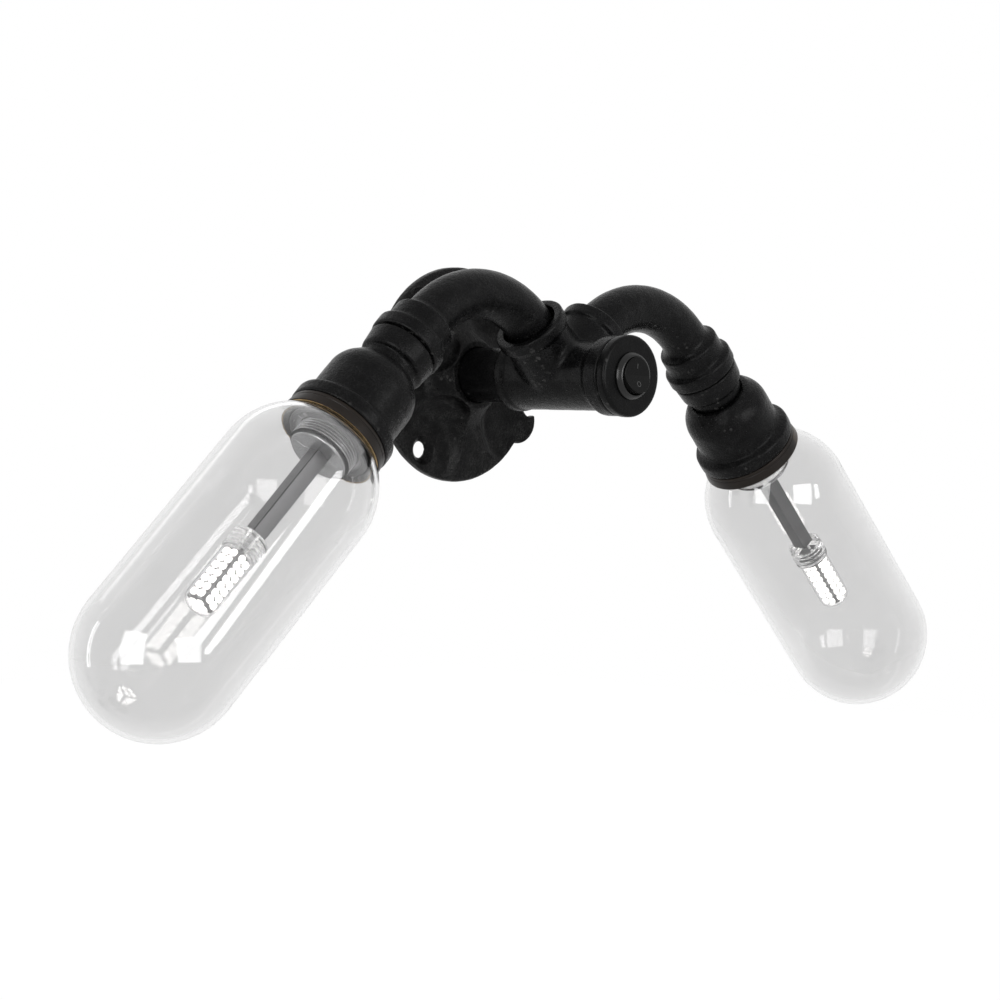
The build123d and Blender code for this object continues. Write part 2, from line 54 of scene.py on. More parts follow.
MM = 0.001
SIDES = ("left", "right")
WELD = 1e-6                                                 # vertices nearer than this are one
BAND_PAST_RING = {"left": 3.2 * MM, "right": 1.2 * MM}      # how far the bell's band covers the ring
LUMP_SIZE = 0.0045                                          # of the lumps on the castings
# pale iron grey for sharp edges: partly rubbed wear, partly painted highlight where edges catch light
RUBBED_IRON_AND_EDGE_HIGHLIGHT = (0.050, 0.049, 0.048)


# ---- Sizes and colours that a user would change ----
def length(name, description, default):
    """A length property in metres, given in millimetres."""
    return bpy.props.FloatProperty(name=name, description=description, default=default * MM, unit="LENGTH",
                                   precision=5)


def colour(name, description, default):
    """A colour property."""
    return bpy.props.FloatVectorProperty(name=name, description=description, default=default, subtype="COLOR",
                                         size=3, min=0.0, max=1.0)


class PipeLightFittings(bpy.types.PropertyGroup):
    """Places of the lamps and the finish of the cast fittings."""
    tee_out: length("Tee distance", "From the wall to the plane of the branches", 59.0)
    branch_run: length("Branch run", "From the tee's centre to the corner of a branch and its lamp axis", 63.0)
    voxel: length("Cast grid", "Grid size of the cast surfaces", 0.42)
    lump: length("Cast lumps", "Height of the lumps that the sand mould leaves", 0.16)
    bell_top: length("Bell top", "From the lamp's corner to the top of the bell", 68.0)
    bell_radius: length("Bell radius", "Radius of the bell above its band", 17.7)
    band_radius: length("Band radius", "Radius of the bell's wide band", 20.6)
    band: length("Band height", "Height of the bell's wide band", 7.0)
    iron: colour("Iron paint", "Black paint on the cast iron", (0.0013, 0.0013, 0.0014))
    bronze: colour("Ring bronze", "Dark bronze of the shade rings", (0.0065, 0.0048, 0.0038))
    brass: colour("Ring edge", "Bare brass edge of the shade rings", (0.52, 0.36, 0.17))


class PipeLightGlass(bpy.types.PropertyGroup):
    """The glass capsules and the rings that hold them."""
    radius: length("Radius", "Outer radius of the capsule", 30.0)
    wall: length("Wall", "Thickness of the glass", 1.6)
    neck_radius: length("Neck radius", "Outer radius of the neck", 18.15)
    neck_wall: length("Neck wall", "Thickness of the neck", 1.3)
    top: length("Neck top", "From the lamp's corner to the top of the neck", 97.4)
    neck: length("Neck length", "From the top of the neck to the shoulder", 5.0)
    straight: length("Straight length", "Length between the two round ends", 81.67)
    ring_start: length("Ring start", "From the lamp's corner to the shade ring", 95.2)
    ring: length("Ring length", "Height of the shade ring", 7.3)
    tint: colour("Glass tint", "Smoke grey that the glass passes straight through", (0.790, 0.788, 0.788))
    # painted rim tint: the paler colour painted towards the glass's edges, standing in for the white
    # surroundings seen there
    painted_rim_tint: colour("Edge tint", "Colour that the glass passes at its edges", (0.985, 0.985, 0.985))


class PipeLightLamp(bpy.types.PropertyGroup):
    """The lampholder, stem and bulb."""
    holder_radius: length("Holder radius", "Radius of the threaded barrel", 12.4)
    end_radius: length("Holder end radius", "Radius of the disc that ends the barrel", 11.5)
    pitch: length("Thread pitch", "Distance between thread turns", 1.25)
    stem_side: length("Stem side", "Width of the square stem", 6.1)
    collar_radius: length("Bulb base radius", "Radius of the clear ribbed base", 7.1)
    cover_radius: length("Cover radius", "Radius of the clear cover", 6.4)
    chip: length("Chip side", "Side of a light chip", 2.5)
    steel: colour("Holder metal", "Grey metal of the holder", (0.32, 0.32, 0.325))
    stem: colour("Stem metal", "Grey metal of the stem", (0.056, 0.056, 0.057))
    light: colour("Light", "Colour of the lit chips", (1.0, 0.985, 0.96))
    glow: bpy.props.FloatProperty(name="Glow", description="Strength of the lit chips", default=1.35, min=0.0,
                                  unit="NONE")
    flare: bpy.props.FloatProperty(name="Flare", description="Strength of the chips mirrored in the glass",
                                   default=9.0, min=0.0, unit="NONE")


class PipeLightSwitch(bpy.types.PropertyGroup):
    """The rocker switch."""
    bezel_radius: length("Bezel radius", "Outer radius of the switch's bezel", 9.1)
    well_radius: length("Well radius", "Radius of the rocker's well", 7.2)
    face: length("Face", "From the wall to the bezel's face", 97.8)
    seat: length("Seat", "From the wall to the plug's face under the bezel", 95.6)
    plastic: colour("Switch plastic", "Black plastic of the switch", (0.0040, 0.0040, 0.0040))
    mark: colour("Switch marks", "Moulded marks on the rocker", (0.028, 0.028, 0.028))


class PipeLightStage(bpy.types.PropertyGroup):
    """Floor, backdrop, lights and camera."""
    floor_drop: length("Floor height", "From the light's origin down to the floor", 420.0)
    focal: bpy.props.FloatProperty(name="Focal length", description="Lens in millimetres on a 36 mm sensor",
                                   default=104.245, unit="CAMERA")
    paper: colour("Paper", "White paper of the floor and backdrop", (0.90, 0.90, 0.90))


# ---- Shader values and finishes ----
class Value:
    """A shader socket.  Arithmetic on it adds the Math nodes that work it out."""

    def __init__(self, finish, socket):
        self.finish = finish
        self.socket = socket

    def maths(self, operation, first, second):
        return self.finish.node("ShaderNodeMath", {"operation": operation}, {0: first, 1: second})

    def __add__(self, other):
        return self.maths("ADD", self, other)

    def __radd__(self, other):
        return self.maths("ADD", other, self)

    def __sub__(self, other):
        return self.maths("SUBTRACT", self, other)

    def __rsub__(self, other):
        return self.maths("SUBTRACT", other, self)

    def __mul__(self, other):
        return self.maths("MULTIPLY", self, other)

    def __rmul__(self, other):
        return self.maths("MULTIPLY", other, self)

    def __truediv__(self, other):
        return self.maths("DIVIDE", self, other)

    def __rtruediv__(self, other):
        return self.maths("DIVIDE", other, self)

    def above(self, other):
        return self.maths("GREATER_THAN", self, other)

    def highest(self, other):
        return self.maths("MAXIMUM", self, other)


class Finish:
    """A material being made.  One method adds any node; values come back as sockets."""

    def __init__(self, name, owner=None):
        self.owner = owner or bpy.data.materials.new(name)
        self.owner.use_nodes = True
        self.tree = self.owner.node_tree
        self.tree.nodes.clear()

    def node(self, kind, settings=None, inputs=None, output=0):
        """Adds a node, sets it and links its inputs; gives back one output."""
        made = self.tree.nodes.new(kind)
        for key, value in (settings or {}).items():
            setattr(made, key, value)
        for key, value in (inputs or {}).items():
            if isinstance(value, Value):
                self.tree.links.new(value.socket, made.inputs[key])
            else:
                made.inputs[key].default_value = value
        return Value(self, made.outputs[output]) if made.outputs else made

    def place(self):
        """Where a point of the piece is, in the frame of the part."""
        return self.node("ShaderNodeTexCoord", output="Object")

    def noise(self, where, scale, detail=3.0, roughness=0.55):
        inputs = {"Vector": where, "Scale": scale, "Detail": detail, "Roughness": roughness}
        return self.node("ShaderNodeTexNoise", inputs=inputs, output="Fac")

    def ramp(self, value, low, high, start=0.0, end=1.0):
        """The value spread from low..high to start..end, held at both ends."""
        inputs = {"Value": value, "From Min": low, "From Max": high, "To Min": start, "To Max": end}
        return self.node("ShaderNodeMapRange", {"clamp": True}, inputs)

    def blend(self, factor, first, second):
        inputs = {0: factor, 6: self.tone(first), 7: self.tone(second)}
        return self.node("ShaderNodeMix", {"data_type": "RGBA"}, inputs, output=2)

    def tone(self, shade):
        return shade if isinstance(shade, Value) else (*shade[:3], 1)

    def bump(self, height, distance):
        return self.node("ShaderNodeBump", inputs={"Height": height, "Distance": distance})

    def light_path(self, output):
        return self.node("ShaderNodeLightPath", output=output)

    def sees_white(self):
        """1 for the rays that see the white surroundings: straight, in gloss and through glass."""
        seen, gloss = self.light_path("Is Camera Ray"), self.light_path("Is Glossy Ray")
        return seen.highest(gloss).highest(self.light_path("Is Transmission Ray"))

    def edge_wear_and_light(self, low, high):
        """0 on flat ground and 1 on a sharp outer edge, or in a hollow when low is above high; it places
        rubbed wear and also painted highlight and painted shade.
        """
        return self.ramp(self.node("ShaderNodeNewGeometry", output="Pointiness"), low, high)

    def surface(self, inputs):
        inputs = {key: self.tone(value) if "Color" in key else value for key, value in inputs.items()}
        return self.node("ShaderNodeBsdfPrincipled", inputs=inputs)

    def mixed(self, factor, first, second):
        return self.node("ShaderNodeMixShader", inputs={0: factor, 1: first, 2: second})

    def done(self, shader):
        self.node("ShaderNodeOutputMaterial", inputs={"Surface": shader})
        return self.owner


def scaled(shade, factor):
    """A colour made lighter or darker."""
    return tuple(min(1.0, part * factor) for part in shade)


def cast_iron_finish(name, shade, painted_glint, grain_depth, dullness):
    """Satin black paint over rough cast iron: lumps, sand grain, fine specks, painted glint lines of
    highlight, and edges lightened partly as rubbed wear and partly as painted highlight.
    """
    finish = Finish(name)
    where = finish.place()
    lumps = finish.noise(where, 150, 3)
    grain = finish.noise(where, 760, 4, 0.62)
    specks = finish.noise(where, 1900, 2, 0.6)
    # sharp edges, broken up by noise: lightened partly as rubbed wear and partly as painted highlight lines
    edge = finish.edge_wear_and_light(0.520, 0.570) * finish.ramp(finish.noise(where, 260, 3), 0.36, 0.60)
    dust = finish.ramp(finish.noise(where, 48, 3), 0.45, 0.75)
    # painted highlight: thin swirled lines, in patches, take the bright painted glint colour, standing in for
    # glints of light on the cast grain
    swirl = finish.noise(where, 1050, 3, 0.7) - 0.5
    patches = finish.ramp(finish.noise(where, 210, 3), 0.38, 0.68)
    painted_glint_lines = finish.ramp(swirl * swirl, 0.0009, 0.0) * patches
    body = finish.blend(dust, shade, scaled(shade, 1.8))
    body = finish.blend(painted_glint_lines, body, painted_glint)
    body = finish.blend(edge * 0.5, body, RUBBED_IRON_AND_EDGE_HIGHLIGHT)
    height = lumps * 0.45 + grain * 0.60 + specks * 0.22
    roughness = dullness + grain * 0.20 + dust * 0.06 - edge * 0.08
    shader = finish.surface({
        "Base Color": body, "Roughness": roughness, "Specular IOR Level": 0.03,
        "Coat Weight": 0.26, "Coat Roughness": 0.27, "Coat IOR": 1.28,
        "Normal": finish.bump(height, grain_depth)})
    return finish.done(shader)


def bronze_finish(shade):
    """Dark bronze paint on the shade rings, finely turned."""
    finish = Finish("shade_ring_bronze")
    where = finish.place()
    grain = finish.noise(where, 900, 4)
    stain = finish.ramp(finish.noise(where, 90, 3), 0.35, 0.7)
    edge = finish.edge_wear_and_light(0.52, 0.58)
    body = finish.blend(stain, shade, scaled(shade, 1.8))
    body = finish.blend(edge * 0.25, body, (0.10, 0.07, 0.045))
    shader = finish.surface({
        "Base Color": body, "Roughness": 0.26 + grain * 0.16, "Specular IOR Level": 0.14,
        "Normal": finish.bump(grain, 0.00005)})
    return finish.done(shader)


def metal_finish(name, shade, roughness, grain_size, depth):
    """Bare grey metal with a fine grain, faint stains, painted highlight on the crests and painted shade in
    the roots.
    """
    finish = Finish(name)
    where = finish.place()
    grain = finish.noise(where, grain_size, 4, 0.6)
    stain = finish.ramp(finish.noise(where, 110, 3), 0.35, 0.72)
    # crest: painted highlight on sharp crests; root: painted shade in the hollows between them
    crest = finish.edge_wear_and_light(0.52, 0.60)
    root = finish.edge_wear_and_light(0.48, 0.40)
    body = finish.blend(stain, shade, scaled(shade, 0.75))
    # painted highlight on the crests, then painted shade in the roots
    body = finish.blend(crest * 0.9, body, scaled(shade, 3.2))
    body = finish.blend(root * 0.95, body, scaled(shade, 0.12))
    shader = finish.surface({
        "Base Color": body, "Metallic": 0.85, "Roughness": roughness + grain * 0.16,
        "Normal": finish.bump(grain, depth)})
    return finish.done(shader)


def brass_finish(name, shade):
    """Bare brass edge, slightly dull."""
    finish = Finish(name)
    where = finish.place()
    dull = finish.ramp(finish.noise(where, 400, 3), 0.3, 0.7)
    body = finish.blend(dull, shade, scaled(shade, 0.6))
    shader = finish.surface({
        "Base Color": body, "Metallic": 0.9, "Roughness": 0.28 + dull * 0.2,
        "Normal": finish.bump(dull, 0.00002)})
    return finish.done(shader)


def glass_finish(name, tint, painted_rim_tint, ripple):
    """Clear glass, smoky straight through, with a painted rim tint towards its edges that makes the capsules
    pale there; light and shadow pass through it.
    """
    finish = Finish(name)
    where = finish.place()
    wave = finish.noise(where, 30, 2, 0.4)
    smear = finish.ramp(finish.noise(where, 24, 3), 0.5, 0.8)
    facing = finish.node("ShaderNodeLayerWeight", inputs={"Blend": 0.5}, output="Facing")
    # painted rim: the colour turns to the rim tint as the surface turns away from the view, standing in for
    # the surroundings seen at the glass's edges
    slant = finish.ramp(facing, 0.30, 0.95)
    body = finish.blend(slant, finish.blend(smear, tint, scaled(tint, 0.975)), painted_rim_tint)
    shader = finish.surface({
        "Base Color": body, "Transmission Weight": 1.0, "IOR": 1.47,
        "Roughness": smear * 0.01, "Normal": finish.bump(wave, ripple)})
    clear = finish.node("ShaderNodeBsdfTransparent", inputs={"Color": (*scaled(tint, 1.2), 1)})
    shadow = finish.light_path("Is Shadow Ray")
    return finish.done(finish.mixed(shadow * 0.92, shader, clear))


def plastic_finish(name, shade, roughness, texture=0.00002, gloss=0.4):
    """Moulded plastic with a fine spark-eroded texture and a few fine scuffs."""
    finish = Finish(name)
    where = finish.place()
    grain = finish.noise(where, 2600, 3, 0.6)
    scuff = finish.ramp(finish.noise(where, 300, 4), 0.55, 0.75)
    body = finish.blend(scuff * 0.5, shade, scaled(shade, 1.7))
    shader = finish.surface({
        "Base Color": body, "Roughness": roughness + scuff * 0.12 + grain * 0.06,
        "Specular IOR Level": gloss, "Normal": finish.bump(grain, texture)})
    return finish.done(shader)


def light_finish(shade, strength, flare):
    """Lit phosphor of the chips, faintly mottled, and far brighter where the glass mirrors it."""
    finish = Finish("led_chip_light")
    where = finish.place()
    mottle = finish.ramp(finish.noise(where, 700, 2), 0.3, 0.7, 0.85, 1.0)
    body = finish.blend(mottle, scaled(shade, 0.9), shade)
    shown = finish.surface({
        "Base Color": body, "Emission Color": body, "Emission Strength": strength, "Roughness": 0.5})
    flared = finish.node("ShaderNodeEmission", inputs={"Color": (*shade, 1), "Strength": flare})
    mirrored = finish.light_path("Glossy Depth").above(0.5)
    through = finish.light_path("Is Transmission Ray")
    return finish.done(finish.mixed(mirrored * through, shown, flared))


# ---- Modelling helpers ----
def to_objects():
    """Object mode with nothing selected."""
    if bpy.context.object and bpy.context.object.mode != "OBJECT":
        bpy.ops.object.mode_set(mode="OBJECT")
    bpy.ops.object.select_all(action="DESELECT")


def pick(piece):
    """Only this piece is selected and active."""
    to_objects()
    piece.select_set(True)
    bpy.context.view_layer.objects.active = piece


def select_by(piece, kind, test):
    """In edit mode, selects the vertices, edges or faces that pass the test, and stops if none does."""
    work = bmesh.from_edit_mesh(piece.data)
    bpy.ops.mesh.select_all(action="DESELECT")
    chosen = [part for part in getattr(work, kind) if test(part)]
    if not chosen:
        raise RuntimeError(f"{piece.name} has no {kind} at the place to be worked")
    for part in chosen:
        part.select_set(True)
    work.select_flush(True)
    bmesh.update_edit_mesh(piece.data)


def modify(piece, kind, **settings):
    """Adds a modifier and applies it at once."""
    pick(piece)
    modifier = piece.modifiers.new(kind.lower(), kind)
    for key, value in settings.items():
        setattr(modifier, key, value)
    bpy.ops.object.modifier_apply(modifier=modifier.name)


def settle(piece, matrix):
    """Moves a piece to its place, and puts that place into its mesh."""
    pick(piece)
    piece.matrix_world = matrix @ piece.matrix_world
    bpy.ops.object.transform_apply(location=True, rotation=True, scale=True)


def smooth(piece, degrees):
    """Smooth shading that keeps the sharp edges."""
    pick(piece)
    bpy.ops.object.shade_smooth_by_angle(angle=radians(degrees))


def dress(piece, material):
    """Gives the whole piece one material."""
    piece.data.materials.clear()
    piece.data.materials.append(material)


def seat(piece, body, slot, *nodes):
    """The piece rides on its body and stands for its nodes, which are hidden; the slot is not used."""
    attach(piece, body)
    if nodes:
        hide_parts(*nodes)
    return piece


def complete(piece, material, degrees, matrix, body, slot, *nodes):
    """Dresses, smooths and settles a piece, and seats it on its body."""
    if material:
        dress(piece, material)
    smooth(piece, degrees)
    settle(piece, matrix)
    return seat(piece, body, slot, *nodes)


def block(name, size, centre):
    """A plain block to be worked on, with its size and place put into its mesh."""
    to_objects()
    bpy.ops.mesh.primitive_cube_add(size=1, scale=size, location=centre)
    piece = bpy.context.object
    piece.name = piece.data.name = name
    bpy.ops.object.transform_apply(location=True, rotation=True, scale=True)
    return piece


def is_upright(edge, least):
    """Whether an edge climbs more than a height."""
    return abs(edge.verts[0].co.z - edge.verts[1].co.z) > least


def turned(name, corners, steps=128, rounding_steps=4, closed=False):
    """A turned piece about z.  Each corner is (radius, height) or (radius, height, rounding)."""
    to_objects()
    path = list(corners) + ([corners[0][:2]] if closed else [])
    bpy.ops.mesh.primitive_plane_add(size=MM)
    piece = bpy.context.object
    piece.name = piece.data.name = name
    bpy.ops.object.mode_set(mode="EDIT")
    bpy.ops.mesh.merge(type="CENTER")
    bpy.ops.transform.translate(value=(path[0][0], 0, path[0][1]))
    for before, after in zip(path, path[1:]):
        step = (after[0] - before[0], 0, after[1] - before[1])
        bpy.ops.mesh.extrude_region_move(TRANSFORM_OT_translate={"value": step})
    for corner in corners:
        if len(corner) > 2 and corner[2] > 0:
            spot = Vector((corner[0], 0, corner[1]))
            select_by(piece, "verts", lambda vertex: (vertex.co - spot).length < WELD)
            bpy.ops.mesh.bevel(offset=corner[2], segments=rounding_steps, affect="VERTICES")
    bpy.ops.mesh.select_all(action="SELECT")
    bpy.ops.mesh.spin(steps=steps, angle=2 * pi, center=(0, 0, 0), axis=(0, 0, 1))
    bpy.ops.mesh.select_all(action="SELECT")
    bpy.ops.mesh.remove_doubles(threshold=2 * WELD)
    bpy.ops.mesh.select_all(action="SELECT")
    bpy.ops.mesh.normals_make_consistent(inside=False)
    bpy.ops.object.mode_set(mode="OBJECT")
    return piece


def rounding(centre, radius, parts):
    """Corners on a circle round a centre, at sixteenths of half a turn."""
    turns = [part * pi / 16 for part in parts]
    return [(centre[0] + radius * cos(turn), centre[1] + radius * sin(turn)) for turn in turns]


def arc(centre, radius, start, end, steps):
    """Corners along an arc about a point of the axis; angles run from straight down the lamp."""
    turns = [start + (end - start) * index / steps for index in range(steps + 1)]
    return [(radius * sin(turn), centre + radius * cos(turn)) for turn in turns]


def lamp_matrix(side):
    """The frame of one lamp, as in the part."""
    sizes = bpy.context.scene.pipe_light_fittings
    sign = -1 if side == "left" else 1
    slant = sqrt(0.5)
    corner = Vector((sign * sizes.branch_run * slant, -sizes.tee_out, sizes.branch_run * slant))
    x_axis = Vector((0, sign, 0))
    z_axis = Vector((sign * slant, 0, -slant))
    y_axis = z_axis.cross(x_axis)
    turn = Matrix((x_axis, y_axis, z_axis)).transposed()
    return Matrix.Translation(corner) @ turn.to_4x4()


def band_end(side):
    """Where the bell's band ends: the two lamps are screwed up to slightly different depths."""
    return bpy.context.scene.pipe_light_glass.ring_start + BAND_PAST_RING[side]


def front_matrix():
    """The front frame: x right, y up, z away from the wall."""
    return Matrix(((1, 0, 0, 0), (0, 0, -1, 0), (0, 1, 0, 0), (0, 0, 0, 1)))


def node_copy(name, node):
    """A copy of a packed node's mesh with its loose triangles joined."""
    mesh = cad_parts[node].data.copy()
    piece = bpy.data.objects.new(name, mesh)
    bpy.context.scene.collection.objects.link(piece)
    pick(piece)
    bpy.ops.object.mode_set(mode="EDIT")
    bpy.ops.mesh.select_all(action="SELECT")
    bpy.ops.mesh.remove_doubles(threshold=WELD)
    bpy.ops.object.mode_set(mode="OBJECT")
    return piece


def cast_piece(name, node, voxel, lump):
    """A cast form of a packed node."""
    return cast_surface(node_copy(name, node), voxel, lump)


def cast_surface(piece, voxel, lump):
    """Rounds every corner of a piece and gives it the lumps of a sand mould."""
    modify(piece, "REMESH", mode="VOXEL", voxel_size=voxel, adaptivity=0.0)
    modify(piece, "SMOOTH", factor=0.5, iterations=7)
    lumps = bpy.data.textures.new(f"{piece.name}_lumps", "CLOUDS")
    lumps.noise_scale = LUMP_SIZE
    lumps.noise_depth = 2
    modify(piece, "DISPLACE", texture=lumps, strength=lump, mid_level=1.0, texture_coords="LOCAL")
    pick(piece)
    bpy.ops.object.shade_smooth()
    return piece


# ---- Operators: one for each piece or group of like pieces ----
class PIPELIGHT_OT_cast_fittings(bpy.types.Operator):
    """Cast iron flange, tee, elbows, collars, bells, pipe and switch cap"""
    bl_idname = "pipe_light.cast_fittings"
    bl_label = "Cast fittings"

    def execute(self, context):
        sizes = context.scene.pipe_light_fittings
        # each finish's painted_glint is the colour of its painted highlight lines
        iron = cast_iron_finish("cast_iron_black", sizes.iron, painted_glint=(0.017, 0.017, 0.017),
                                grain_depth=0.00085, dullness=0.16)
        rough = cast_iron_finish("cast_iron_flange", sizes.iron, painted_glint=(0.040, 0.040, 0.039),
                                 grain_depth=0.00130, dullness=0.20)
        fine = cast_iron_finish("cast_iron_switch_cap", sizes.iron, painted_glint=(0.008, 0.008, 0.008),
                                grain_depth=0.00030, dullness=0.19)
        finishes = {"wall_flange": rough, "switch_cap": fine, "back_nipple": fine}
        # the share of the lumps that each fitting gets
        fittings = {"wall_flange": 1.0, "side_outlet_tee": 1.0, "switch_cap": 0.4, "back_nipple": 0.4}
        for side in SIDES:
            fittings.update({f"{side}_elbow": 1.0, f"{side}_collar_nipple": 0.5})
        for node, share in fittings.items():
            piece = cast_piece(f"{node}_cast", node, sizes.voxel, sizes.lump * share)
            dress(piece, finishes.get(node, iron))
            seat(piece, "fixture", "cast_iron", node)
        for side in SIDES:
            bell = self.bell(f"{side}_bell_cast", sizes, side)
            cast_surface(bell, sizes.voxel, sizes.lump)
            dress(bell, iron)
            settle(bell, lamp_matrix(side))
            seat(bell, "fixture", "cast_iron", f"{side}_reducing_bell")
        return {"FINISHED"}

    def bell(self, name, sizes, side):
        """Hollow bell: rounded shoulder, plain body and a wide band that takes the shade ring."""
        top = sizes.bell_top
        low = band_end(side)
        band = low - sizes.band
        mouth, thread, hall, bore = 19.4 * MM, 16.95 * MM, 15.2 * MM, 10.9 * MM     # inner radii, going up
        mouth_top, thread_top, hall_top, bore_low = 95.0 * MM, 86.2 * MM, 78.5 * MM, 77.5 * MM
        corner, shoulder = 0.9 * MM, 3.4 * MM                                       # roundings
        return turned(name, [
            (bore, top), (13.0 * MM, top, corner), (sizes.bell_radius, top + 6 * MM, shoulder),
            (sizes.bell_radius, band), (sizes.band_radius, band + 1.5 * MM, corner),
            (sizes.band_radius, low, corner), (mouth, low), (mouth, mouth_top), (thread, mouth_top),
            (thread, thread_top), (hall, thread_top), (hall, hall_top), (bore, bore_low)], closed=True)


class PIPELIGHT_OT_shade_rings(bpy.types.Operator):
    """Thin dark rings that hold the glass, with a bare brass edge inside"""
    bl_idname = "pipe_light.shade_rings"
    bl_label = "Shade rings"

    bore, thread, body, flare = 14.9 * MM, 16.7 * MM, 19.2 * MM, 20.75 * MM     # radii
    neck_seat = 18.45 * MM                                                      # radius round the glass's neck
    bare_edge = 0.30 * MM                                                       # height of the brass edge

    def execute(self, context):
        fittings = context.scene.pipe_light_fittings
        glass = context.scene.pipe_light_glass
        bronze = bronze_finish(fittings.bronze)
        brass = brass_finish("shade_ring_brass", fittings.brass)
        start = glass.ring_start
        for side in SIDES:
            band = band_end(side)
            end = band + 5.3 * MM
            top, shoulder = start - 6.4 * MM, band + 0.15 * MM
            upper = [(self.bore, top), (self.thread, top, 0.3 * MM), (self.thread, start), (self.body, start),
                     (self.body, shoulder), (20.1 * MM, shoulder, 0.3 * MM)]
            groove = [(20.2 * MM, band + 1.4 * MM), (20.05 * MM, band + 1.6 * MM),
                      (20.25 * MM, band + 1.8 * MM)]
            lip = [(self.flare, end - 0.2 * MM, 0.15 * MM), (20.45 * MM, end, 0.1 * MM), (19.95 * MM, end)]
            inside = [(self.neck_seat, start + 4.2 * MM), (self.neck_seat, start + 1.8 * MM),
                      (self.bore, start + 1.8 * MM)]
            piece = turned(f"{side}_shade_ring_turned", upper + groove + lip + inside, steps=192, closed=True)
            dress(piece, bronze)
            piece.data.materials.append(brass)
            for face in piece.data.polygons:
                reach = Vector(face.center[:2]).length
                if face.center.z > end - self.bare_edge and reach < 20.4 * MM:
                    face.material_index = 1
            complete(piece, None, 32, lamp_matrix(side), "fixture", "dark_bronze", f"{side}_shade_ring")
        return {"FINISHED"}


class PIPELIGHT_OT_glass_shades(bpy.types.Operator):
    """Clear glass capsules with a rounded neck lip"""
    bl_idname = "pipe_light.glass_shades"
    bl_label = "Glass shades"

    def execute(self, context):
        sizes = context.scene.pipe_light_glass
        clear = glass_finish("capsule_glass", sizes.tint, sizes.painted_rim_tint, ripple=0.000002)
        neck_inner = sizes.neck_radius - sizes.neck_wall
        radius_inner = sizes.radius - sizes.wall
        upper = sizes.top + sizes.neck + sqrt(sizes.radius ** 2 - sizes.neck_radius ** 2)
        lower = upper + sizes.straight
        outer_turn = pi - asin(sizes.neck_radius / sizes.radius)
        inner_turn = pi - asin(neck_inner / radius_inner)
        lip = sizes.neck_wall * 0.45
        corners = (
            [(neck_inner, sizes.top, lip), (sizes.neck_radius, sizes.top, lip)]
            + arc(upper, sizes.radius, outer_turn, pi / 2, 20) + arc(lower, sizes.radius, pi / 2, 0, 40)
            + arc(lower, radius_inner, 0, pi / 2, 40) + arc(upper, radius_inner, pi / 2, inner_turn, 20))
        for side in SIDES:
            piece = turned(f"{side}_glass_capsule", corners, steps=480, closed=True)
            home = lamp_matrix(side)
            complete(piece, clear, 40, home, f"{side}_shade", "clear_glass", f"{side}_glass_shade")
        return {"FINISHED"}


